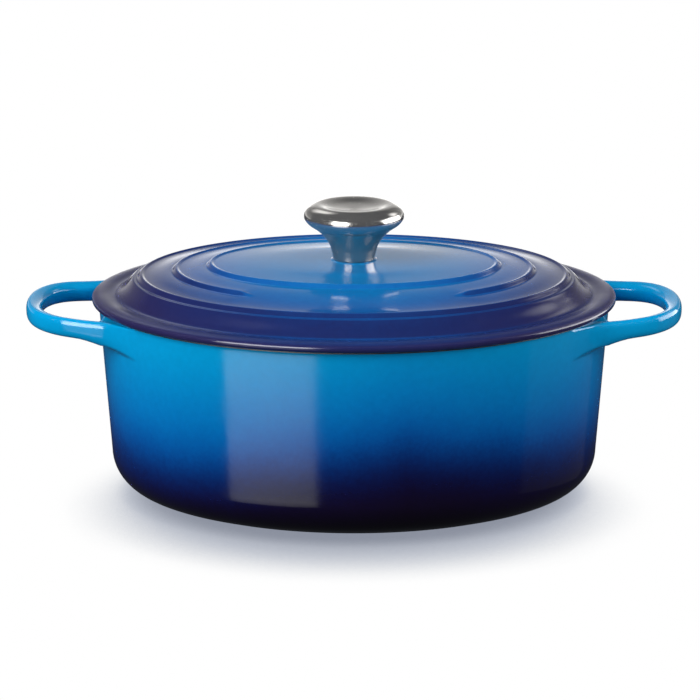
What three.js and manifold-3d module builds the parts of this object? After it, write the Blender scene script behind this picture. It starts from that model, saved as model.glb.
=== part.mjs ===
// Oval enamelled cast iron dutch oven: pot with two loop handles, domed lid with three raised
// rings, and a hollow steel knob held by a screw from under the lid. Millimetres, +Z up.
// The origin is the middle of the flat base, +X runs through the handles, -Y is the front.
import * as THREE from 'three';
import { mergeVertices } from 'three/addons/utils/BufferGeometryUtils.js';
import Module from 'manifold-3d';

const wasm = await Module();
wasm.setup();

// Driving dimensions
const GAP = 0.3;                    // clearance between touching pieces
const OVAL_STEPS = 56;              // facets round the pot and the lid
const ROUND_STEPS = 32;             // facets round the knob and its fasteners

const POT_HEIGHT = 111.2;           // base to rim
const RIM_REACH = 144.2;            // half length of the outer wall at the rim
const WALL_TAPER = 5.6;             // how much closer in the wall is at the top of the corner
const OVAL_OFFSET = 31;             // half length minus half width of the wall
const WALL = 3.5;
const BASE = 4.8;
const CORNER_WIDTH = 22;            // lower corner of the wall, along the base
const CORNER_HEIGHT = 25;           // lower corner of the wall, along the wall
const FOOT_HEIGHT = 2.4;            // flat foot that the pot rests on
const FOOT_STEP = 1.5;              // how far the foot is set in from the corner
const RIM_ROUND = 1;                // rounding of the rim's two edges

const HANDLE_REACH = 185.2;         // half length of the whole object
const HANDLE_BAR = 9;               // width of the loop seen from above
const HANDLE_TOP = 111;
const HANDLE_HEIGHT = 12;
const HANDLE_ROUND = 3.2;
const HANDLE_FLARE = 6;             // how much deeper the loop is where it joins the wall
const HANDLE_LIFT = 2;              // how much higher the loop is at its far end
const HANDLE_SLOPE = 2.4;           // fall of the loop's top towards the finger gap

const LID_REACH = 148;              // half length of the lid's rolled edge
const LID_SEAT = POT_HEIGHT + GAP;  // underside of the rolled edge
const LID_WALL = 3.4;
const LID_CROWN = 134.1;            // top of the lid at its middle, under the boss
const DOME_REACH = 124.5;           // half length where the dome turns down to the edge
const DOME_DROP = 7;                // fall of the dome, the even part
const DOME_TURN = 2.9;              // fall of the dome, the part that grows towards its edge
const VALLEY = { reach: 136, height: 115.6 };
const EDGE_CREST = { reach: 142, height: 116.4 };
const EDGE_SIDE = { reach: LID_REACH, height: 113.8 };
const EDGE_FOOT = 146.3;            // half length of the rolled edge's underside
const RING_INNER = 2;               // width of a ring's inner slope
const RING_OUTER = 3.1;             // width of the step down outside a ring
const RINGS = [                     // heights of each ring's inner foot, crest and outer foot
  { reach: 80.6, inside: 132.3, crest: 133, outside: 130.6 },
  { reach: 100.1, inside: 129.6, crest: 130.3, outside: 127.9 },
  { reach: 119.9, inside: 126.3, crest: 127, outside: 124.5 },
];
const RING_GAP = { openTo: 33, fullFrom: 39 };  // front gap in the middle ring, degrees each side
const LIP = { outer: 138.8, inner: 134.9, bottom: 107.6 };  // locating lip inside the pot's mouth
const BOSS = { radius: 12.3, foot: 19, top: 134.4 };        // low pad under the knob
const SCREW_HOLE = 3.4;

const KNOB_BASE = BOSS.top + GAP;
const KNOB_TOP = 165.8;
const KNOB_REACH = 28.2;
const KNOB_WALL = 1.5;
const INSERT = { radius: 9.5, height: 15, bore: 3.3, boreDepth: 13 };
const WASHER = { outer: 8, inner: 3.3, thick: 1.2 };
const LOCK_WASHER = { outer: 5.9, inner: 3.2, thick: 1.5, slot: 1.2 };
const SCREW = { radius: 2.9, length: 21, head: 6, headHeight: 3.6, recess: 2 };

const ENAMEL_BLUE = 0x0a6fc4;
const ENAMEL_INDIGO = 0x1c2f74;
const STEEL = 0x9c9a97;
const ZINC = 0xb8b8b4;

function smooth(value, low, high) {
  return THREE.MathUtils.smoothstep(value, low, high);
}

// Half length minus half width of the oval through the point at half length s.
// It falls to nothing at the middle, so that the ovals there become circles.
function potOffset(s) {
  return OVAL_OFFSET * smooth(s, 0, 90);
}

function lidOffset(s) {
  const rings = 28 * smooth(s, 20, 76);
  return rings + (OVAL_OFFSET - 28) * smooth(s, DOME_REACH, VALLEY.reach);
}

// A closed solid from any closed geometry: only the positions are kept, shared corners merged.
function solid(geometry) {
  geometry.deleteAttribute('normal');
  geometry.deleteAttribute('uv');
  const merged = mergeVertices(geometry, 1e-4);
  const index = merged.index.array;
  const triVerts = [];
  for (let i = 0; i < index.length; i += 3) {
    const [a, b, c] = [index[i], index[i + 1], index[i + 2]];
    if (a !== b && b !== c && c !== a) triVerts.push(a, b, c);
  }
  const mesh = new wasm.Mesh({
    numProp: 3,
    vertProperties: new Float32Array(merged.attributes.position.array),
    triVerts: new Uint32Array(triVerts),
  });
  return new wasm.Manifold(mesh);
}

function piece(name, body, color, roughness, metalness) {
  const { vertProperties, triVerts } = body.getMesh();
  const geometry = new THREE.BufferGeometry();
  geometry.setAttribute('position', new THREE.BufferAttribute(new Float32Array(vertProperties), 3));
  geometry.setIndex(new THREE.BufferAttribute(new Uint32Array(triVerts), 1));
  geometry.computeVertexNormals();
  const material = new THREE.MeshStandardMaterial({ color, roughness, metalness });
  const mesh = new THREE.Mesh(geometry, material);
  mesh.name = name;
  return mesh;
}

// Revolves an outline of [half length or radius, height] points about Z.
function revolve(outline, steps) {
  const points = outline.map(([s, z]) => new THREE.Vector2(s, z));
  return new THREE.LatheGeometry(points, steps).rotateX(Math.PI / 2);
}

// Revolves an outline, then narrows every circle to its oval. adjust may change a height.
function revolveOval(outline, offset, adjust = (s, angle, z) => z) {
  const geometry = revolve(outline, OVAL_STEPS);
  const position = geometry.attributes.position;
  for (let i = 0; i < position.count; i += 1) {
    const x = position.getX(i);
    const y = position.getY(i);
    const s = Math.hypot(x, y);
    if (s > 1e-6) {
      const angleFromFront = THREE.MathUtils.radToDeg(Math.abs(Math.atan2(x, -y)));
      position.setXYZ(i, x, y * (s - offset(s)) / s, adjust(s, angleFromFront, position.getZ(i)));
    }
  }
  return geometry;
}

// A quarter of an ellipse from the low end of a corner up to its side.
function corner(reach, bottom, width, height, steps) {
  const points = [];
  for (let i = 0; i <= steps; i += 1) {
    const angle = (i / steps) * Math.PI / 2;
    points.push([reach - width + width * Math.sin(angle), bottom + height - height * Math.cos(angle)]);
  }
  return points;
}

function wallReach(z) {
  return RIM_REACH - WALL_TAPER * (POT_HEIGHT - z) / (POT_HEIGHT - CORNER_HEIGHT);
}

function potOutside() {
  const side = wallReach(CORNER_HEIGHT);
  const turn = corner(side, FOOT_HEIGHT, CORNER_WIDTH, CORNER_HEIGHT - FOOT_HEIGHT, 7);
  const footReach = turn[0][0] - FOOT_STEP;
  const rim = [
    [wallReach(POT_HEIGHT - RIM_ROUND), POT_HEIGHT - RIM_ROUND],
    [RIM_REACH - RIM_ROUND, POT_HEIGHT],
    [0, POT_HEIGHT],
  ];
  const middle = [wallReach(70), 70];
  return revolveOval([[0, 0], [footReach, 0], ...turn, middle, ...rim], potOffset);
}

function potInside() {
  const side = wallReach(CORNER_HEIGHT) - WALL;
  const turn = corner(side, BASE, CORNER_WIDTH, CORNER_HEIGHT - BASE + 2, 6);
  const mouth = [
    [RIM_REACH - WALL, POT_HEIGHT - RIM_ROUND],
    [RIM_REACH - WALL + RIM_ROUND, POT_HEIGHT],
    [RIM_REACH - WALL + RIM_ROUND, POT_HEIGHT + 5],
    [0, POT_HEIGHT + 5],
  ];
  return revolveOval([[0, BASE], ...turn, ...mouth], potOffset);
}

// One half of the loop's outer edge seen from above, from its root on the wall to its far end.
const LOOP_OUTER = [
  new THREE.CubicBezierCurve(v(119, -64), v(125, -57), v(130, -53.5), v(140, -50.1)),
  new THREE.CubicBezierCurve(v(140, -50.1), v(147, -47.8), v(153, -45.7), v(160, -43.4)),
  new THREE.CubicBezierCurve(v(160, -43.4), v(176, -38), v(HANDLE_REACH, -24), v(HANDLE_REACH, 0)),
];
// The same half of the finger gap, from inside the wall to its far end.
const GAP_REACH = HANDLE_REACH - HANDLE_BAR;
const LOOP_INNER = [
  new THREE.CubicBezierCurve(v(138, -27), v(138.5, -37), v(140, -40.6), v(147, -38.3)),
  new THREE.CubicBezierCurve(v(147, -38.3), v(150.4, -37.2), v(153.7, -36), v(157.1, -34.9)),
  new THREE.CubicBezierCurve(v(157.1, -34.9), v(170, -30.5), v(GAP_REACH, -19.5), v(GAP_REACH, 0)),
];

function v(x, y) {
  return new THREE.Vector2(x, y);
}

// The points of one half, then the same points mirrored across the X axis in reverse order.
function bothHalves(curves, steps) {
  const half = curves.flatMap((curve, i) => curve.getPoints(steps[i]).slice(i ? 1 : 0));
  const other = half.slice(0, -1).reverse().map((point) => v(point.x, -point.y));
  return [...half, ...other];
}

function handle() {
  const inTheWall = 112;
  const outline = bothHalves(LOOP_OUTER, [3, 3, 7]);
  const shape = new THREE.Shape([v(inTheWall, -60), ...outline, v(inTheWall, 60)]);
  shape.holes.push(new THREE.Path(bothHalves(LOOP_INNER, [4, 2, 6])));
  const geometry = new THREE.ExtrudeGeometry(shape, {
    depth: HANDLE_HEIGHT - 2 * HANDLE_ROUND,
    bevelThickness: HANDLE_ROUND,
    bevelSize: HANDLE_ROUND,
    bevelOffset: -HANDLE_ROUND,
    bevelSegments: 3,
  });
  geometry.translate(0, 0, HANDLE_TOP - HANDLE_HEIGHT + HANDLE_ROUND);
  shapeLoop(geometry);
  return solid(geometry);
}

function distanceTo(curves, x, y) {
  const points = bothHalves(curves, [8, 8, 16]);
  return Math.min(...points.map((point) => Math.hypot(point.x - x, point.y - y)));
}

// The loop rises to its far end, its underside deepens at the wall, and its top slopes inwards.
function shapeLoop(geometry) {
  const position = geometry.attributes.position;
  for (let i = 0; i < position.count; i += 1) {
    const [x, y, z] = [position.getX(i), position.getY(i), position.getZ(i)];
    const level = (z - HANDLE_TOP) / (HANDLE_HEIGHT / 2) + 1;
    const outside = distanceTo(LOOP_OUTER, x, y);
    const inside = distanceTo(LOOP_INNER, x, y);
    const slope = HANDLE_SLOPE * Math.max(level, 0) * outside / (outside + inside);
    const flare = HANDLE_FLARE * Math.min(level, 0) * (1 - smooth(x, 124, 154));
    const lift = HANDLE_LIFT * smooth(x, 145, HANDLE_REACH);
    position.setZ(i, z - slope + flare + lift);
  }
}

function pot() {
  const right = handle();
  const left = right.rotate([0, 0, 180]);
  const body = solid(potOutside()).add(right).add(left).subtract(solid(potInside()));
  return piece('pot', body, ENAMEL_BLUE, 0.22, 0);
}

// Smooth dome that the lid's underside follows, a wall's thickness above it.
function lidDome(s) {
  const share = s / DOME_REACH;
  return LID_CROWN - DOME_DROP * share ** 2 - DOME_TURN * share ** 6;
}

// Height of the terraces that the rings end: nearly level, a little up, and a step down.
function terraced(s, rings) {
  const { lerp } = THREE.MathUtils;
  let start = 0;
  let level = LID_CROWN;
  for (const { reach, inside, crest, outside } of rings) {
    const foot = reach - RING_INNER;
    const end = reach + RING_OUTER;
    const share = (s - start) / (foot - start);
    if (s < foot) return lerp(level, inside, start ? smooth(share, 0, 1) : share ** 2);
    if (s < reach) return lerp(inside, crest, smooth(s, foot, reach));
    if (s < end) return lerp(crest, outside, smooth(s, reach, end));
    start = end;
    level = outside;
  }
  return level;
}

function lidTop(s) {
  return terraced(s, RINGS);
}

// The middle ring is open at the front, where one long terrace takes its place.
function openRing(s, angleFromFront, z) {
  const onTop = s > BOSS.foot && s < DOME_REACH && z > lidDome(s) - LID_WALL / 2;
  if (!onTop) return z;
  const shown = smooth(angleFromFront, RING_GAP.openTo, RING_GAP.fullFrom);
  return THREE.MathUtils.lerp(terraced(s, [RINGS[0], RINGS[2]]), z, shown);
}

// Curve from the dome's edge down into the valley, level at its lower end.
function valleySlope() {
  const start = [DOME_REACH, lidTop(DOME_REACH)];
  const run = VALLEY.reach - DOME_REACH;
  const curve = new THREE.CubicBezierCurve(
    v(...start),
    v(DOME_REACH + run * 0.3, start[1] - run * 0.3 * 0.5),
    v(VALLEY.reach - run * 0.45, VALLEY.height),
    v(VALLEY.reach, VALLEY.height),
  );
  return curve.getPoints(4).slice(1).map((point) => [point.x, point.y]);
}

// The rolled edge, from the valley over its crest and down to its underside.
function rolledEdge() {
  const over = new THREE.CubicBezierCurve(
    v(EDGE_CREST.reach, EDGE_CREST.height),
    v(EDGE_CREST.reach + 3, EDGE_CREST.height),
    v(EDGE_SIDE.reach, EDGE_SIDE.height + 1.6),
    v(EDGE_SIDE.reach, EDGE_SIDE.height),
  );
  const under = new THREE.QuadraticBezierCurve(
    v(EDGE_SIDE.reach, EDGE_SIDE.height),
    v(EDGE_SIDE.reach, LID_SEAT),
    v(EDGE_FOOT, LID_SEAT),
  );
  const points = [...over.getPoints(3), ...under.getPoints(2).slice(1)];
  return points.map((point) => [point.x, point.y]);
}

function lidOutline() {
  const top = [[SCREW_HOLE, BOSS.top], [BOSS.radius - 1, BOSS.top], [BOSS.radius, BOSS.top - 0.3]];
  top.push([BOSS.radius + 0.6, lidTop(BOSS.foot)]);
  for (const s of [BOSS.foot, 36, 56]) top.push([s, lidTop(s)]);
  for (const ring of RINGS) {
    const stops = [-RING_INNER, -RING_INNER / 2, 0, RING_OUTER * 0.3, RING_OUTER * 0.65, RING_OUTER];
    for (const stop of stops) top.push([ring.reach + stop, lidTop(ring.reach + stop)]);
  }
  const edge = [...valleySlope(), ...rolledEdge()];
  const under = [[LIP.outer + 0.4, LID_SEAT], [LIP.outer, LIP.bottom + 0.6], [LIP.outer - 0.8, LIP.bottom]];
  under.push([LIP.inner + 0.6, LIP.bottom], [LIP.inner - 0.8, VALLEY.height - LID_WALL - 0.4]);
  for (const s of [122, 98, 66, 30, SCREW_HOLE]) under.push([s, lidDome(s) - LID_WALL]);
  return [...top, ...edge, ...under, top[0]];
}

function lid() {
  const geometry = revolveOval(lidOutline().reverse(), lidOffset, openRing);
  return piece('lid', solid(geometry), ENAMEL_INDIGO, 0.22, 0);
}

// Outer curve of the knob: narrow neck, flared head, rounded shoulder and a dished top.
function knobCurve() {
  return new THREE.SplineCurve([
    v(11.6, KNOB_BASE),
    v(12.5, 138.6),
    v(13.7, 142.6),
    v(16.4, 147),
    v(21, 151.6),
    v(26, 155.2),
    v(KNOB_REACH, 158.8),
    v(27.3, 162.2),
    v(24, 164.8),
    v(19.5, KNOB_TOP),
    v(11, 163.9),
    v(0, 162.9),
  ]);
}

// The outer curve moved inwards by the thickness of the shell.
function knobInside(curve, steps) {
  const inside = [];
  for (let i = 0; i <= steps; i += 1) {
    const t = i / steps;
    const point = curve.getPoint(t);
    const along = curve.getTangent(t);
    inside.push([point.x - along.y * KNOB_WALL, point.y + along.x * KNOB_WALL]);
  }
  inside[0][1] = KNOB_BASE;
  inside[steps][0] = 0;
  return inside;
}

function knobShell() {
  const curve = knobCurve();
  const steps = 22;
  const outside = curve.getPoints(steps).map((point) => [point.x, point.y]);
  outside[steps][0] = 0;
  const outline = [...knobInside(curve, steps).reverse(), ...outside];
  return piece('knob_shell', solid(revolve(outline, ROUND_STEPS)), STEEL, 0.28, 1);
}

function knobInsert() {
  const bottom = KNOB_BASE + GAP;
  const top = bottom + INSERT.height;
  const boreTop = bottom + INSERT.boreDepth;
  const outline = [
    [0, boreTop],
    [INSERT.bore, boreTop],
    [INSERT.bore, bottom],
    [INSERT.radius, bottom],
    [INSERT.radius, top],
    [0, top],
  ];
  return piece('knob_insert', solid(revolve(outline, ROUND_STEPS)), ZINC, 0.4, 1);
}

function washerBody(size, bottom) {
  const top = bottom + size.thick;
  const outline = [
    [size.inner, bottom],
    [size.outer, bottom],
    [size.outer, top],
    [size.inner, top],
    [size.inner, bottom],
  ];
  return solid(revolve(outline, ROUND_STEPS));
}

const WASHER_BOTTOM = lidDome(0) - LID_WALL - GAP - WASHER.thick - 0.2;
const LOCK_BOTTOM = WASHER_BOTTOM - GAP - LOCK_WASHER.thick;
const HEAD_TOP = LOCK_BOTTOM - GAP;

function flatWasher() {
  return piece('flat_washer', washerBody(WASHER, WASHER_BOTTOM), ZINC, 0.35, 1);
}

function lockWasher() {
  const slot = new THREE.BoxGeometry(2 * LOCK_WASHER.outer, LOCK_WASHER.slot, 4 * LOCK_WASHER.thick);
  slot.rotateX(0.35).translate(LOCK_WASHER.outer, 0, LOCK_BOTTOM + LOCK_WASHER.thick / 2);
  const body = washerBody(LOCK_WASHER, LOCK_BOTTOM).subtract(solid(slot));
  return piece('lock_washer', body, ZINC, 0.35, 1);
}

function knobScrew() {
  const headBottom = HEAD_TOP - SCREW.headHeight;
  const outline = [
    [0, headBottom],
    [SCREW.head * 0.6, headBottom],
    [SCREW.head * 0.9, headBottom + SCREW.headHeight * 0.3],
    [SCREW.head, headBottom + SCREW.headHeight * 0.7],
    [SCREW.head, HEAD_TOP],
    [SCREW.radius, HEAD_TOP],
    [SCREW.radius, HEAD_TOP + SCREW.length - 1],
    [SCREW.radius - 1, HEAD_TOP + SCREW.length],
    [0, HEAD_TOP + SCREW.length],
  ];
  let body = solid(revolve(outline, ROUND_STEPS));
  for (const turn of [0, Math.PI / 2]) {
    const blade = new THREE.BoxGeometry(SCREW.head, 1.2, 2 * SCREW.recess);
    body = body.subtract(solid(blade.rotateZ(turn).translate(0, 0, headBottom)));
  }
  return piece('knob_screw', body, ZINC, 0.35, 1);
}

const knob = new THREE.Group();
knob.add(knobShell(), knobInsert(), flatWasher(), lockWasher(), knobScrew());

const dutchOven = new THREE.Group();
dutchOven.add(pot(), lid(), knob);

export default dutchOven;
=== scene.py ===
"""Oval enamelled dutch oven: the looks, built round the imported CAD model. Metres, +Z up."""
import math

import bmesh
import bpy
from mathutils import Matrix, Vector


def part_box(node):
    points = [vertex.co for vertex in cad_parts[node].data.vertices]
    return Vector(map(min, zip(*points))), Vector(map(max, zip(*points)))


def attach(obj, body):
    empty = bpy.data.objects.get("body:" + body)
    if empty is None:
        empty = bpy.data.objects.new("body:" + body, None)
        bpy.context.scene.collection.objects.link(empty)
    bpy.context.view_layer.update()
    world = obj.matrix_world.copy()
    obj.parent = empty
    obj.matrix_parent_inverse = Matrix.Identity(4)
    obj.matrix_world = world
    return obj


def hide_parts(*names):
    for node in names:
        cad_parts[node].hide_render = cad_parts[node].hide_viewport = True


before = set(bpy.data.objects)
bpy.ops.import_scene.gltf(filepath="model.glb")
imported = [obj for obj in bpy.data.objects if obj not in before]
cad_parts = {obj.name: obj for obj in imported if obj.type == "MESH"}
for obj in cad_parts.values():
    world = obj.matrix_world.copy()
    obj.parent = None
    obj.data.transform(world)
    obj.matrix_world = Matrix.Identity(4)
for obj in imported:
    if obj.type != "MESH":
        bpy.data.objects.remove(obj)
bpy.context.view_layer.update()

MM = 0.001

# ---------------------------------------------------------------- sizes, in millimetres
_, POT_HIGH = (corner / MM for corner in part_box("pot"))
_, LID_HIGH = (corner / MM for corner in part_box("lid"))
KNOB_LOW, KNOB_HIGH = (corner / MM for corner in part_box("knob_shell"))

OVAL_OFFSET = LID_HIGH[0] - LID_HIGH[1]     # half length minus half width
LID_REACH = LID_HIGH[0]
HANDLE_REACH = POT_HIGH[0]

RIM_HEIGHT = 111.2
RIM_REACH = 144.2
WALL_TAPER = 5.6
WALL = 3.5
BASE = 4.8
CORNER_WIDTH = 22
CORNER_HEIGHT = 25
FOOT_HEIGHT = 2.4
FOOT_STEP = 1.5
RIM_ROUND = 1.1

QUARTER_COLUMNS = 64                        # columns in a quarter of the pot
ROOT_COLUMNS = (11, 25)                     # columns that a handle's root takes up
ROOT_ROWS = 12
ROOT_LOW = 91.0
ROOT_HIGH = RIM_HEIGHT - RIM_ROUND - 0.2

HANDLE_BAR = 9
HANDLE_TOP = 111
HANDLE_HEIGHT = 12
HANDLE_FLARE = 6
HANDLE_LIFT = 2
HANDLE_SLOPE = 2.4
LOOP_OUTER = ((138, 50.8), (160, 43.4))     # straight part of the loop's outer edge, from above
LOOP_INNER = ((144, 39.3), (157.1, 34.9))   # straight part of its inner edge

LID_CROWN = 134.1
DOME_REACH = 124.5
DOME_DROP = 7.0
DOME_TURN = 2.9
VALLEY = (136, 115.6)
EDGE_CREST = (142, 116.4)
EDGE_SIDE = 113.8                           # height of the rolled edge's widest line
EDGE_FOOT = 146.3                           # half length of the rolled edge's underside
LIP_ROOT = 139.2                            # locating lip inside the pot's mouth
LIP_OUTER = 138.6
LIP_INNER = 134.9
LIP_BOTTOM = 107.6
LID_WALL = 3.4
LID_SEAT = 111.5
RING_INNER = 2.0
RING_OUTER = 3.1
RINGS = (                                   # heights of the inner foot, the crest and the outer foot
    dict(reach=80.6, inside=132.3, crest=133, outside=130.6),
    dict(reach=100.1, inside=129.6, crest=130.3, outside=127.9, open_to=33, full_from=39),
    dict(reach=119.9, inside=126.3, crest=127, outside=124.5),
)
BOSS_TOP = 134.4
BOSS_RADIUS = 12.3
BOSS_FOOT = 19
SCREW_HOLE = 3.4
KNOB_WALL = 1.5

PAINTED_SHADE_MIDDLE = 0.03                         # where the wall's painted shade reaches highest, in metres
CAMERA_DISTANCE = 1.5                       # metres
CAMERA_ELEVATION = math.radians(15.39)
CAMERA_AIM = 0.09                           # height that it looks at, in metres
CAMERA_SENSOR = 36
CAMERA_LENS = 135.66857


def smooth(value, low, high):
    share = min(max((value - low) / (high - low), 0), 1)
    return share * share * (3 - 2 * share)


def mix(a, b, share):
    return a + (b - a) * share


def bezier(points, steps):
    """Points on a Bezier curve, its first one left out."""
    result = []
    for i in range(1, steps + 1):
        level = [Vector(p) for p in points]
        while len(level) > 1:
            level = [a.lerp(b, i / steps) for a, b in zip(level, level[1:])]
        result.append(tuple(level[0]))
    return result


def elliptic_corner(reach, bottom, width, height, steps):
    """A quarter ellipse from its low end up to the wall."""
    points = []
    for i in range(steps + 1):
        turn = math.pi / 2 * i / steps
        s = reach - width + width * math.sin(turn)
        points.append((s, bottom + height - height * math.cos(turn)))
    return points


def filleted(corners, steps=5):
    """An outline from (s, z, radius) corners, each rounded by its radius."""
    points = []
    for i, (s, z, radius) in enumerate(corners):
        here = Vector((s, z))
        if radius == 0:
            points.append((s, z))
            continue
        before = (Vector(corners[i - 1][:2]) - here).normalized()
        after = (Vector(corners[i + 1][:2]) - here).normalized()
        half = before.angle(after) / 2
        cut = radius / math.tan(half)
        start, end = here + before * cut, here + after * cut
        points.append(tuple(start))
        points += bezier([start, here, end], steps)
    return points


# ---------------------------------------------------------------- meshes
def pot_offset(s):
    return OVAL_OFFSET * smooth(s, 0, 90)


def lid_offset(s):
    rings = 28 * smooth(s, 20, 76)
    return rings + (OVAL_OFFSET - 28) * smooth(s, DOME_REACH, VALLEY[0])


def on_oval(s, z, angle, offset):
    return Vector((s * math.cos(angle), (s - offset(s)) * math.sin(angle), z)) * MM


def finish_mesh(name, bm, materials):
    mesh = bpy.data.meshes.new(name)
    for face in bm.faces:
        face.smooth = True
    bm.to_mesh(mesh)
    bm.free()
    for material in materials:
        mesh.materials.append(material)
    piece = bpy.data.objects.new(name, mesh)
    bpy.context.collection.objects.link(piece)
    return piece


def wall_reach(z):
    return RIM_REACH - WALL_TAPER * (RIM_HEIGHT - z) / (RIM_HEIGHT - CORNER_HEIGHT)


def pot_outline():
    """The pot's half section from under the base, over the rim, to the floor inside.

    Returns its points, the index where the root's rows start, and the indices where the
    rim zone and the inside zone start. Everything before them is the outside zone."""
    side = wall_reach(CORNER_HEIGHT)
    turn = elliptic_corner(side, FOOT_HEIGHT, CORNER_WIDTH, CORNER_HEIGHT - FOOT_HEIGHT, 16)
    foot = turn[0][0] - FOOT_STEP
    points = [(0, 0), (foot * 0.3, 0), (foot * 0.6, 0), (foot * 0.85, 0)]
    foot_corners = [(foot - 2, 0, 0), (foot, 0, 0.7), (foot, FOOT_HEIGHT, 0.6), (*turn[1], 0)]
    points += filleted(foot_corners, 4)[1:]
    points += turn[2:]
    rows = 16
    for i in range(1, rows):
        z = mix(CORNER_HEIGHT, ROOT_LOW, i / rows)
        points.append((wall_reach(z), z))
    root_start = len(points)
    for i in range(ROOT_ROWS + 1):
        z = mix(ROOT_LOW, ROOT_HIGH, i / ROOT_ROWS)
        points.append((wall_reach(z), z))
    rim_start = len(points)
    rim_inside = RIM_REACH - WALL
    points += filleted([
        (RIM_REACH, RIM_HEIGHT - 2, 0),
        (RIM_REACH, RIM_HEIGHT, RIM_ROUND),
        (rim_inside, RIM_HEIGHT, RIM_ROUND),
        (rim_inside, RIM_HEIGHT - 2, 0),
    ])[1:]
    inside_start = len(points) - 1
    inner_turn = elliptic_corner(side - WALL, BASE, CORNER_WIDTH, CORNER_HEIGHT - BASE + 2, 16)
    for i in range(1, rows):
        z = mix(RIM_HEIGHT - 2, inner_turn[-1][1], i / rows)
        points.append((wall_reach(z) - WALL, z))
    points += inner_turn[::-1]
    floor = points[-1][0]
    points += [(floor * share, BASE) for share in (0.9, 0.7, 0.4)] + [(0, BASE)]
    return points, root_start, (rim_start, inside_start)


def handle_stations():
    """Outer and inner edge of the loop seen from above, from near the wall to its far end."""
    straight = 5
    bend = 22
    far_inner = HANDLE_REACH - HANDLE_BAR
    edges = []
    for (start, turn), pulls, far in (
        (LOOP_OUTER, ((176, 38), (HANDLE_REACH, 24)), HANDLE_REACH),
        (LOOP_INNER, ((170, 30.5), (far_inner, 19.5)), far_inner),
    ):
        shares = [i / straight for i in range(straight)]
        edge = [(mix(start[0], turn[0], share), mix(start[1], turn[1], share)) for share in shares]
        edges.append(edge + [turn] + bezier([turn, *pulls, (far, 0)], bend))
    return list(zip(*edges))


def rounded_box(angle, power=2.7):
    """A point on a unit square with round corners, at an angle from its middle."""
    across, up = math.cos(angle), math.sin(angle)
    length = (abs(across) ** power + abs(up) ** power) ** (1 / power)
    return across / length, up / length


def handle_ring(outer, inner, angles):
    outer, inner = Vector(outer), Vector(inner)
    middle = (outer + inner) / 2
    ring = []
    for angle in angles:
        across, up = rounded_box(angle)
        spot = middle + (outer - inner) / 2 * across
        z = HANDLE_TOP - HANDLE_HEIGHT / 2 * (1 - up)
        z -= HANDLE_SLOPE * max(up, 0) * (1 - across) / 2
        z += HANDLE_FLARE * min(up, 0) * (1 - smooth(spot.x, 124, 154))
        z += HANDLE_LIFT * smooth(spot.x, 145, HANDLE_REACH)
        ring.append(Vector((spot.x, max(spot.y, 0), z)) * MM)
    return ring


def hermite(start, start_pull, end, end_pull, share):
    share2, share3 = share ** 2, share ** 3
    return (start * (2 * share3 - 3 * share2 + 1) + start_pull * (share3 - 2 * share2 + share)
            + end * (3 * share2 - 2 * share3) + end_pull * (share3 - share2))


def root_loop(row_start):
    """The border of the handle's root on the wall: (column, row, u, v), counter-clockwise."""
    first, last = ROOT_COLUMNS
    spots = [(i, 0) for i in range(first, last)]
    spots += [(last, j) for j in range(ROOT_ROWS)]
    spots += [(i, ROOT_ROWS) for i in range(last, first, -1)]
    spots += [(first, j) for j in range(ROOT_ROWS, 0, -1)]
    loop = []
    for i, j in spots:
        u = 2 * (i - first) / (last - first) - 1
        v = 2 * j / ROOT_ROWS - 1
        loop.append((i, row_start + j, u, v))
    return loop


def add_handle(bm, grid, row_start):
    """Half a handle: a fillet that starts along the wall and turns outwards, then the loop.

    The fillet's pulls are in millimetres: they set how far it follows the wall, on the side
    towards the end of the pot and on the other, and how far it runs on along the loop."""
    loop = root_loop(row_start)
    wall_ring = [grid[i][j] for i, j, _, _ in loop]
    angles = [math.atan2(v, u) for _, _, u, v in loop]
    stations = handle_stations()
    rings = [handle_ring(outer, inner, angles) for outer, inner in stations]
    out = (rings[1][0] - rings[0][0]).normalized()
    out.z = 0
    fillet_steps = 12
    fillet = [[] for _ in range(fillet_steps - 1)]
    for k, (i, j, u, v) in enumerate(loop):
        start = wall_ring[k].co
        angle = math.pi / 2 * i / QUARTER_COLUMNS
        reach = wall_reach(start.z / MM)
        along = Vector((-reach * math.sin(angle), (reach - OVAL_OFFSET) * math.cos(angle), 0))
        rise = Vector((0, 0, 7 * max(-v, 0) - 1.2 * max(v, 0)))
        pull = along.normalized() * (12 * max(-u, 0) - 20 * max(u, 0)) + rise
        end_pull = out * mix(10, 17, (u + 1) / 2)
        for step in range(1, fillet_steps):
            spot = hermite(start, pull * MM, rings[0][k], end_pull * MM, step / fillet_steps)
            fillet[step - 1].append(spot)
    previous = wall_ring
    for ring in fillet + rings:
        current = [bm.verts.new(spot) for spot in ring]
        for k in range(len(current)):
            following = (k + 1) % len(current)
            bm.faces.new((previous[k], previous[following], current[following], current[k]))
        previous = current


def quarter_pot(bm):
    points, root_start, zones = pot_outline()
    last = len(points) - 1
    poles = {0: bm.verts.new((0, 0, 0)), last: bm.verts.new((0, 0, BASE * MM))}
    first_column, last_column = ROOT_COLUMNS
    grid = []
    for i in range(QUARTER_COLUMNS + 1):
        angle = math.pi / 2 * i / QUARTER_COLUMNS
        column = []
        for j, (s, z) in enumerate(points):
            hidden = first_column < i < last_column and root_start < j < root_start + ROOT_ROWS
            spot = on_oval(s, z, angle, pot_offset)
            column.append(poles.get(j) or (None if hidden else bm.verts.new(spot)))
        grid.append(column)
    for i in range(QUARTER_COLUMNS):
        for j in range(last):
            if first_column <= i < last_column and root_start <= j < root_start + ROOT_ROWS:
                continue
            corners = [grid[i][j], grid[i + 1][j], grid[i + 1][j + 1], grid[i][j + 1]]
            face = bm.faces.new(list(dict.fromkeys(corners)))
            face.material_index = sum(j >= start for start in zones)
    add_handle(bm, grid, root_start)


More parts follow.
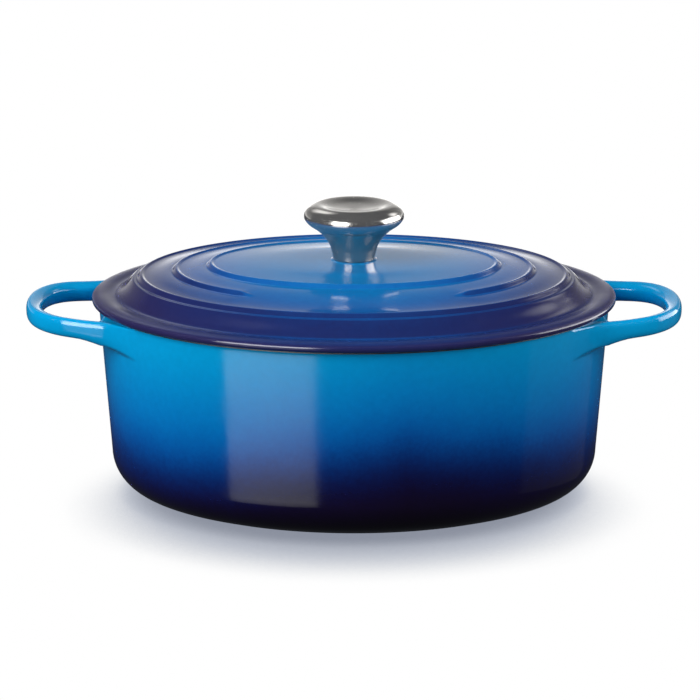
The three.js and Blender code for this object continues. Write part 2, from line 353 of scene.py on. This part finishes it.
def build_pot(materials):
    bm = bmesh.new()
    quarter_pot(bm)
    piece = finish_mesh("pot_casting", bm, materials)
    mirror = piece.modifiers.new("other_quarters", "MIRROR")
    mirror.use_axis = (True, True, False)
    mirror.merge_threshold = 1e-6
    return piece


def lid_dome(s):
    """Height of the smooth dome that the lid's underside follows, a wall's thickness above it."""
    share = s / DOME_REACH
    return LID_CROWN - DOME_DROP * share ** 2 - DOME_TURN * share ** 6


def terraced(s, rings):
    """Height of the terraces that the rings end: nearly level, a little up, and a step down."""
    start, level = 0, LID_CROWN
    for ring in rings:
        foot, crest, end = ring["reach"] - RING_INNER, ring["reach"], ring["reach"] + RING_OUTER
        if s < foot:
            share = (s - start) / (foot - start)
            return mix(level, ring["inside"], smooth(share, 0, 1) if start else share ** 2)
        if s < crest:
            return mix(ring["inside"], ring["crest"], smooth(s, foot, crest))
        if s < end:
            return mix(ring["crest"], ring["outside"], smooth(s, crest, end))
        start, level = end, ring["outside"]
    return level


def lid_top(s, from_front=180):
    """The middle ring is open at the front, where one long terrace takes its place."""
    inner, middle, outer = RINGS
    shown = smooth(from_front, middle["open_to"], middle["full_from"])
    return mix(terraced(s, (inner, outer)), terraced(s, RINGS), shown)


def spread(start, end, steps):
    return [mix(start, end, i / steps) for i in range(steps)]


def lid_outline():
    """The lid's section from the screw hole over the top, round the edge and back below.

    Returns its points, the indices between which the rings shape its top, and the indices
    where the rim zone and the inside zone start."""
    foot_height = lid_top(BOSS_FOOT)
    points = filleted([
        (SCREW_HOLE, BOSS_TOP - 2, 0),
        (SCREW_HOLE, BOSS_TOP, 0.4),
        (BOSS_RADIUS, BOSS_TOP, 0.2),
        (BOSS_RADIUS + 0.8, foot_height, 0.3),
        (BOSS_FOOT + 1, lid_top(BOSS_FOOT + 1), 0),
    ])
    stops = spread(BOSS_FOOT + 3, 78, 18) + spread(78, 86, 24) + spread(86, 97.5, 8)
    stops += spread(97.5, 105.5, 24) + spread(105.5, 117.5, 8) + spread(117.5, DOME_REACH, 20)
    top_start = len(points)
    points += [(s, lid_top(s)) for s in stops]
    start = (DOME_REACH, lid_top(DOME_REACH))
    points.append(start)
    top_end = len(points)
    points += bezier([start, (127.9, start[1] - 2.4), (131.6, VALLEY[1] + 0.2), VALLEY], 16)
    points += bezier([VALLEY, (138.2, VALLEY[1]), (139.5, EDGE_CREST[1]), EDGE_CREST], 8)
    side = (LID_REACH, EDGE_SIDE)
    points += bezier([EDGE_CREST, (145, EDGE_CREST[1]), (LID_REACH, 115.4), side], 10)
    points += bezier([side, (LID_REACH, LID_SEAT), (EDGE_FOOT, LID_SEAT)], 6)
    rim_start = len(points)
    points += filleted([
        (EDGE_FOOT, LID_SEAT, 0),
        (LIP_ROOT, LID_SEAT, 0.4),
        (LIP_OUTER, LIP_BOTTOM, 0.8),
        (LIP_INNER, LIP_BOTTOM, 0.8),
        (133.8, 112, 2.5),
        (122, lid_dome(122) - LID_WALL, 0),
    ])[1:]
    inside_start = len(points) - 8          # the last point of the lip's inner corner
    points += [(s, lid_dome(s) - LID_WALL) for s in spread(116, SCREW_HOLE, 22)]
    points.append((SCREW_HOLE, lid_dome(SCREW_HOLE) - LID_WALL))
    return points, (top_start, top_end), (rim_start, inside_start)


def build_lid(materials):
    bm = bmesh.new()
    points, (top_start, top_end), zones = lid_outline()
    columns = 4 * QUARTER_COLUMNS
    grid = []
    for i in range(columns):
        angle = 2 * math.pi * i / columns
        from_front = abs(math.degrees(math.atan2(math.cos(angle), -math.sin(angle))))
        column = []
        for j, (s, z) in enumerate(points):
            height = lid_top(s, from_front) if top_start <= j < top_end else z
            column.append(bm.verts.new(on_oval(s, height, angle, lid_offset)))
        grid.append(column)
    count = len(points)
    for i in range(columns):
        for j in range(count):
            left, right = grid[i], grid[(i + 1) % columns]
            below = (j + 1) % count
            face = bm.faces.new((left[j], left[below], right[below], right[j]))
            face.material_index = sum(j >= start for start in zones)
    return finish_mesh("lid_casting", bm, materials)


def spin(name, outline, columns, materials):
    """A closed solid from an outline of (radius, z) whose two ends lie on the axis."""
    bm = bmesh.new()
    on_axis = {j: bm.verts.new((0, 0, z * MM)) for j, (r, z) in enumerate(outline) if r < 1e-6}
    grid = []
    for i in range(columns):
        turn = 2 * math.pi * i / columns
        column = []
        for j, (r, z) in enumerate(outline):
            spot = Vector((r * math.cos(turn), r * math.sin(turn), z)) * MM
            column.append(on_axis.get(j) or bm.verts.new(spot))
        grid.append(column)
    for i in range(columns):
        left, right = grid[i], grid[(i + 1) % columns]
        for j in range(len(outline) - 1):
            corners = [left[j], right[j], right[j + 1], left[j + 1]]
            bm.faces.new(list(dict.fromkeys(corners)))
    bmesh.ops.recalc_face_normals(bm, faces=bm.faces)
    return finish_mesh(name, bm, materials)


def catmull_rom(points, steps):
    ends = [points[0]] + list(points) + [points[-1]]
    result = []
    for a, b, c, d in zip(ends, ends[1:], ends[2:], ends[3:]):
        a, b, c, d = (Vector(p) for p in (a, b, c, d))
        for i in range(steps):
            t = i / steps
            spot = 2 * b + (c - a) * t + (2 * a - 5 * b + 4 * c - d) * t ** 2
            spot += (3 * b - a - 3 * c + d) * t ** 3
            result.append(tuple(spot / 2))
    result.append(tuple(points[-1]))
    return result


def build_knob(materials):
    low, high, reach = KNOB_LOW[2], KNOB_HIGH[2], KNOB_HIGH[0]
    outside = catmull_rom([
        (11.6, low),
        (12.5, 138.6),
        (13.7, 142.6),
        (16.4, 147),
        (21, 151.6),
        (26, 155.2),
        (reach, 158.8),
        (27.3, 162.2),
        (24, 164.8),
        (19.5, high - 0.04),
        (11, 163.9),
        (0, 162.9),
    ], 8)
    inside = []
    for i, (r, z) in enumerate(outside):
        before, after = outside[max(i - 1, 0)], outside[min(i + 1, len(outside) - 1)]
        along = (Vector(after) - Vector(before)).normalized()
        inside.append((max(r - along.y * KNOB_WALL, 0), z + along.x * KNOB_WALL))
    inside[0] = (inside[0][0], low)
    inside[-1] = (0, inside[-1][1])
    outline = inside[::-1] + outside
    return spin("knob_body", outline, 128, materials)


# ---------------------------------------------------------------- materials
def node_maker(material):
    tree = material.node_tree
    tree.nodes.clear()

    def make(kind, values=(), **settings):
        node = tree.nodes.new(kind)
        for key, value in settings.items():
            setattr(node, key, value)
        for socket, value in dict(values).items():
            if isinstance(value, bpy.types.NodeSocket):
                tree.links.new(value, node.inputs[socket])
            else:
                node.inputs[socket].default_value = value
        return node

    return make


def start_material(name):
    material = bpy.data.materials.new(name)
    material.use_nodes = True
    return material, node_maker(material)


def ramp_node(make, share, stops, interpolation="B_SPLINE"):
    ramp = make("ShaderNodeValToRGB", {"Fac": share})
    ramp.color_ramp.interpolation = interpolation
    elements = ramp.color_ramp.elements
    while len(elements) < len(stops):
        elements.new(0.5)
    for element, (position, color) in zip(elements, stops):
        element.position = position
        element.color = (*color, 1)
    return ramp.outputs["Color"]


def noise_node(make, place, scale, detail=2.0):
    node = make("ShaderNodeTexNoise", {"Vector": place, "Scale": scale, "Detail": detail})
    return node.outputs["Fac"]


def range_node(make, value, low, high, to_low, to_high):
    values = {"Value": value, "From Min": low, "From Max": high, "To Min": to_low, "To Max": to_high}
    return make("ShaderNodeMapRange", values).outputs["Result"]


def math_node(make, operation, a, b):
    return make("ShaderNodeMath", {0: a, 1: b}, operation=operation).outputs["Value"]


def object_place(make):
    return make("ShaderNodeTexCoord").outputs["Object"]


def enamel(name, share_of, stops, roughness, satin_of=None):
    """Glossy enamel: a colour that runs along share_of, fine mottling and a soft orange peel."""
    material, make = start_material(name)
    place = object_place(make)
    wobble = range_node(make, noise_node(make, place, 35), 0.3, 0.7, -0.012, 0.012)
    speckle = range_node(make, noise_node(make, place, 420, 3), 0.3, 0.7, -0.01, 0.01)
    share = math_node(make, "ADD", share_of(make, place), math_node(make, "ADD", wobble, speckle))
    color = ramp_node(make, share, stops)
    mottle = range_node(make, noise_node(make, place, 260, 3), 0.3, 0.7, 0.965, 1.035)
    tint = make("ShaderNodeHueSaturation", {"Value": mottle, "Color": color}).outputs["Color"]
    peel = noise_node(make, place, 190, 1)
    bump = make("ShaderNodeBump", {"Strength": 0.07, "Distance": 0.0003, "Height": peel})
    rough = range_node(make, noise_node(make, place, 60, 3), 0.3, 0.7, roughness * 0.8, roughness * 1.3)
    if satin_of:
        rough = math_node(make, "ADD", rough, satin_of(make, place))
    values = {"Base Color": tint, "Roughness": rough, "IOR": 1.52, "Normal": bump.outputs["Normal"]}
    shader = make("ShaderNodeBsdfPrincipled", values)
    make("ShaderNodeOutputMaterial", {"Surface": shader.outputs["BSDF"]})
    return material


def wall_share(make, place):
    """Height on the wall, for the enamel's fade from a dark base up to azure, moved by painted light
    and shade:
    the wall is painted darker a little right of the middle of the long sides and lighter towards the
    ends, and the creases round the handles get painted shade too."""
    parts = make("ShaderNodeSeparateXYZ", {"Vector": place})
    side = math_node(make, "ABSOLUTE", math_node(make, "SUBTRACT", parts.outputs["X"], PAINTED_SHADE_MIDDLE), 0)
    # painted light and shade: darker near the middle of the long sides, lighter towards the ends
    painted_light_and_shade = range_node(make, side, 0, 0.13, -0.10, 0.075)
    height = range_node(make, parts.outputs["Z"], 0, RIM_HEIGHT * MM, 0, 1)
    # painted shade: ambient occlusion darkens the enamel colour in the creases round the handles
    occlusion_for_painted_shade = make("ShaderNodeAmbientOcclusion", {"Distance": 0.06}, samples=8, only_local=True)
    painted_crease_shade = range_node(make, occlusion_for_painted_shade.outputs["AO"], 0.4, 0.9, -0.4, 0)
    return math_node(make, "ADD", math_node(make, "ADD", height, painted_light_and_shade), painted_crease_shade)


def axis_distance(make, place, depth_scale=1):
    """Distance from the vertical axis, with the depth scaled to suit an oval."""
    flat = make("ShaderNodeVectorMath", {0: place, 1: (1, depth_scale, 0)}, operation="MULTIPLY")
    length = make("ShaderNodeVectorMath", {0: flat.outputs["Vector"]}, operation="LENGTH")
    return length.outputs["Value"]


def upwards(make):
    """How far a face looks up: 1 on a level face, 0 on a wall."""
    normal = make("ShaderNodeTexCoord").outputs["Normal"]
    return make("ShaderNodeSeparateXYZ", {"Vector": normal}).outputs["Z"]


def lid_share(make, place):
    """Distance from the knob, plus painted shade: faces that slope steeply count as further out, so
    they are painted darker.
    """
    distance = axis_distance(make, place)
    up = upwards(make)
    # painted shade on the ring steps: faces that slope steeply are moved darker
    painted_slope_shade = range_node(make, up, 0.93, 0.80, 0, 0.13)
    return math_node(make, "ADD", range_node(make, distance, 0, LID_REACH * MM, 0, 1), painted_slope_shade)


def rim_satin(make, place):
    """The lid grows duller from the dome's lower slope to the flange, on upward faces only."""
    distance = axis_distance(make, place, 1.25)
    upward = range_node(make, upwards(make), 0.45, 0.7, 0, 1)
    return math_node(make, "MULTIPLY", range_node(make, distance, 0.127, 0.138, 0, 0.2), upward)


def pot_enamel():
    stops = [
        (0.0, (0.004, 0.002, 0.006)),
        (0.16, (0.005, 0.002, 0.014)),
        (0.27, (0.003, 0.004, 0.045)),
        (0.38, (0.001, 0.022, 0.145)),
        (0.50, (0.0, 0.080, 0.33)),
        (0.64, (0.0, 0.155, 0.45)),
        (0.80, (0.0, 0.21, 0.51)),
        (1.0, (0.0, 0.30, 0.60)),
    ]
    return enamel("pot_enamel_blue", wall_share, stops, 0.11)


def lid_enamel():
    stops = [
        (0.0, (0.003, 0.175, 0.44)),
        (0.30, (0.003, 0.165, 0.42)),
        (0.43, (0.003, 0.145, 0.40)),
        (0.56, (0.006, 0.095, 0.34)),
        (0.69, (0.007, 0.046, 0.20)),
        (0.77, (0.008, 0.025, 0.125)),
        (0.82, (0.010, 0.019, 0.10)),
        (0.89, (0.012, 0.018, 0.095)),
        (1.0, (0.02, 0.016, 0.065)),
    ]
    return enamel("lid_enamel_indigo", lid_share, stops, 0.14, rim_satin)


def inside_enamel():
    """Pale sand enamel of the cooking surfaces."""
    stops = [(0.0, (0.56, 0.50, 0.38)), (1.0, (0.64, 0.58, 0.46))]

    def cloud(make, place):
        return noise_node(make, place, 14, 2)

    return enamel("inside_enamel_sand", cloud, stops, 0.26)


def rim_enamel():
    """Dark, matte undercoat where the lid and the pot meet."""
    stops = [(0.0, (0.010, 0.010, 0.012)), (1.0, (0.028, 0.026, 0.028))]

    def cloud(make, place):
        return noise_node(make, place, 90, 4)

    return enamel("rim_undercoat", cloud, stops, 0.42)


def steel(name, neck_color, color, roughness, grain):
    """Satin stainless steel, brushed in circles about the knob's axis, and darker on its neck, which is
    painted shade below the knob's head.
    """
    material, make = start_material(name)
    place = object_place(make)
    parts = make("ShaderNodeSeparateXYZ", {"Vector": place})
    radius = axis_distance(make, place)
    stretched = make("ShaderNodeCombineXYZ", {"X": radius, "Y": parts.outputs["Z"]}).outputs["Vector"]
    lines = noise_node(make, stretched, 3200, 2)
    patches = noise_node(make, place, 120, 3)
    rough = range_node(make, patches, 0.3, 0.7, roughness * 0.8, roughness * 1.25)
    shade = range_node(make, lines, 0.3, 0.7, 0.94, 1.05)
    # painted shade: below the head the colour fades to the darker neck colour
    height = range_node(make, parts.outputs["Z"], 0.150, 0.160, 0, 1)
    color = ramp_node(make, height, [(0.0, neck_color), (1.0, color)], "LINEAR")
    tint = make("ShaderNodeHueSaturation", {"Value": shade, "Color": color}).outputs["Color"]
    bump = make("ShaderNodeBump", {"Strength": grain, "Distance": 0.00005, "Height": lines})
    values = {"Base Color": tint, "Metallic": 0.9, "Roughness": rough, "Normal": bump.outputs["Normal"]}
    shader = make("ShaderNodeBsdfPrincipled", values)
    make("ShaderNodeOutputMaterial", {"Surface": shader.outputs["BSDF"]})
    return material


# ---------------------------------------------------------------- stage
def add_floor():
    """A plain glowing floor with a painted shadow where the pot stands close over it, mostly in front.
    """
    material, make = start_material("floor_white")
    # painted shadow: ambient occlusion about a normal leaning back, so the shadow falls mostly in front
    # of the pot
    behind = make("ShaderNodeCombineXYZ", {"X": 0.0, "Y": 0.6, "Z": 0.8}).outputs["Vector"]
    occlusion_for_painted_shade = make("ShaderNodeAmbientOcclusion", {"Distance": 0.075, "Normal": behind}, samples=16)
    color = ramp_node(make, occlusion_for_painted_shade.outputs["AO"], [
        (0.0, (0.18, 0.20, 0.26)),
        (0.42, (0.50, 0.53, 0.60)),
        (0.62, (0.82, 0.83, 0.85)),
        (0.76, (1.0, 1.0, 1.0)),
    ], "LINEAR")
    shader = make("ShaderNodeEmission", {"Color": color, "Strength": 1.0})
    make("ShaderNodeOutputMaterial", {"Surface": shader.outputs["Emission"]})
    bm = bmesh.new()
    bmesh.ops.create_grid(bm, x_segments=1, y_segments=1, size=12)
    floor = finish_mesh("floor", bm, [material])
    floor.location.z = -0.0002
    floor.visible_glossy = False
    floor.visible_diffuse = False


def add_card(name, azimuth, width_degrees, distance, low, high, glow, crisp=1.0):
    """A glowing card that only reflections see. Azimuth 0 is the camera's side, positive right.

    glow lists (share of the card's height, brightness); crisp is the share of its width
    that glows fully, and the rest fades to its two sides."""
    half = distance * math.tan(math.radians(width_degrees / 2))
    turn = math.radians(azimuth)
    middle = Vector((math.sin(turn), -math.cos(turn), 0)) * distance
    side = Vector((math.cos(turn), math.sin(turn), 0)) * half
    material, make = start_material(name)
    place = object_place(make)
    height = make("ShaderNodeSeparateXYZ", {"Vector": place}).outputs["Z"]
    stops = [(spot, (level,) * 3) for spot, level in glow]
    brightness = ramp_node(make, range_node(make, height, low, high, 0, 1), stops, "LINEAR")
    along = make("ShaderNodeVectorMath", {0: place, 1: side / half ** 2}, operation="DOT_PRODUCT")
    off_middle = math_node(make, "ABSOLUTE", along.outputs["Value"], 0)
    fade = range_node(make, off_middle, crisp - 0.01, 1.0, 1, 0)
    strength = math_node(make, "MULTIPLY", brightness, fade)
    emission = make("ShaderNodeEmission", {"Color": (1, 0.99, 0.97, 1), "Strength": strength})
    make("ShaderNodeOutputMaterial", {"Surface": emission.outputs["Emission"]})
    material.cycles.emission_sampling = "NONE"
    bm = bmesh.new()
    corners = [middle - side, middle + side]
    spots = [bm.verts.new((c.x, c.y, low)) for c in corners]
    spots += [bm.verts.new((c.x, c.y, high)) for c in reversed(corners)]
    bm.faces.new(spots)
    card = finish_mesh(name, bm, [material])
    card.visible_camera = False
    card.visible_diffuse = False
    card.visible_shadow = False


def add_area_light(name, place, size, power, aim=(0, 0, 0.08)):
    data = bpy.data.lights.new(name, "AREA")
    data.shape = "RECTANGLE"
    data.size, data.size_y = size
    data.energy = power
    light = bpy.data.objects.new(name, data)
    light.location = place
    light.rotation_euler = (Vector(aim) - Vector(place)).to_track_quat("-Z", "Y").to_euler()
    light.visible_camera = False
    light.visible_glossy = False
    bpy.context.collection.objects.link(light)


def add_world():
    """White to the camera, nearly dark to reflections, soft light to the rest, most from above."""
    world = bpy.data.worlds.new("studio")
    bpy.context.scene.world = world
    world.use_nodes = True
    make = node_maker(world)
    path = make("ShaderNodeLightPath")
    direction = make("ShaderNodeTexCoord").outputs["Generated"]
    height = make("ShaderNodeSeparateXYZ", {"Vector": direction}).outputs["Z"]
    softness = range_node(make, height, -0.25, 0.25, 0.12, 0.38)
    soft = make("ShaderNodeBackground", {"Color": (0.95, 0.97, 1, 1), "Strength": softness})
    dim = make("ShaderNodeBackground", {"Color": (0.55, 0.6, 0.7, 1), "Strength": 0.05})
    white = make("ShaderNodeBackground", {"Color": (1, 1, 1, 1), "Strength": 1.0})
    mirrored, direct = path.outputs["Is Glossy Ray"], path.outputs["Is Camera Ray"]
    glossy = make("ShaderNodeMixShader", {0: mirrored, 1: soft.outputs[0], 2: dim.outputs[0]})
    seen = make("ShaderNodeMixShader", {0: direct, 1: glossy.outputs[0], 2: white.outputs[0]})
    make("ShaderNodeOutputWorld", {"Surface": seen.outputs[0]})


def add_camera():
    data = bpy.data.cameras.new("camera")
    data.sensor_width = CAMERA_SENSOR
    data.lens = CAMERA_LENS
    data.shift_x = -0.0057
    data.shift_y = -0.0225
    data.clip_end = 100
    camera = bpy.data.objects.new("camera", data)
    back = CAMERA_DISTANCE * math.cos(CAMERA_ELEVATION)
    up = CAMERA_DISTANCE * math.sin(CAMERA_ELEVATION)
    camera.location = (0, -back, CAMERA_AIM + up)
    camera.rotation_euler = (math.pi / 2 - CAMERA_ELEVATION, 0, 0)
    bpy.context.collection.objects.link(camera)
    bpy.context.scene.camera = camera


# ---------------------------------------------------------------- assembly
def place_piece(piece, body, node):
    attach(piece, body)
    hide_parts(node)


sand = inside_enamel()
undercoat = rim_enamel()
place_piece(build_pot([pot_enamel(), undercoat, sand]), "pot", "pot")
place_piece(build_lid([lid_enamel(), undercoat, sand]), "lid", "lid")
knob_steel = steel("knob_stainless", (0.48, 0.42, 0.37), (0.60, 0.585, 0.57), 0.17, 0.1)
place_piece(build_knob([knob_steel]), "lid", "knob_shell")

fastener_steel = steel("fastener_stainless", (0.55, 0.55, 0.54), (0.55, 0.55, 0.54), 0.3, 0.15)
for node in ("knob_insert", "knob_screw", "lock_washer", "flat_washer"):
    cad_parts[node].data.materials.clear()
    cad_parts[node].data.materials.append(fastener_steel)

add_floor()
add_world()
add_camera()
add_card("key_card", -31.5, 35.5, 1.3, -0.7, 0.95, [
    (0, 0.5), (0.2, 1.96), (0.23, 0.8), (0.45, 0.9), (0.47, 11), (1, 11)])
add_card("key_top_card", -35, 41, 1.3, 0.95, 1.2, [(0, 7), (0.6, 4), (1, 0)], 0.8)
add_card("fill_card", 100, 56, 1.4, -0.8, 0.7, [(0, 0.08), (0.53, 0.1), (0.54, 7), (1, 7)])
add_card("fill_top_card", 92, 54, 1.4, 0.7, 1.2, [(0, 6), (0.5, 2.5), (1, 0)], 0.6)
add_card("back_card", 180, 34, 2.0, -0.35, 1.9, [
    (0, 1.9), (0.25, 2.0), (0.30, 1.4), (0.36, 0.88), (0.45, 0.6), (0.60, 0.38), (1, 0.05)], 0.8)
add_card("backdrop_card", 180, 130, 2.1, 0.1, 1.8, [(0, 1.1), (0.12, 0.6), (0.3, 0.25), (1, 0.08)], 0.8)
add_card("back_left_card", -154, 26, 1.9, 0.9, 2.8, [(0, 0), (0.3, 1.6), (0.7, 1.6), (1, 0)], 0.2)
add_card("back_right_card", 131, 30, 1.9, 0.8, 2.0, [(0, 0), (0.4, 2.2), (0.6, 2.2), (1, 0)], 0.1)
add_area_light("key_light", (-1.34, -0.93, 1.0), (0.9, 1.4), 40)
add_area_light("fill_light", (1.4, -0.8, 0.8), (0.8, 1.2), 18)
bpy.context.scene.view_settings.view_transform = "Standard"
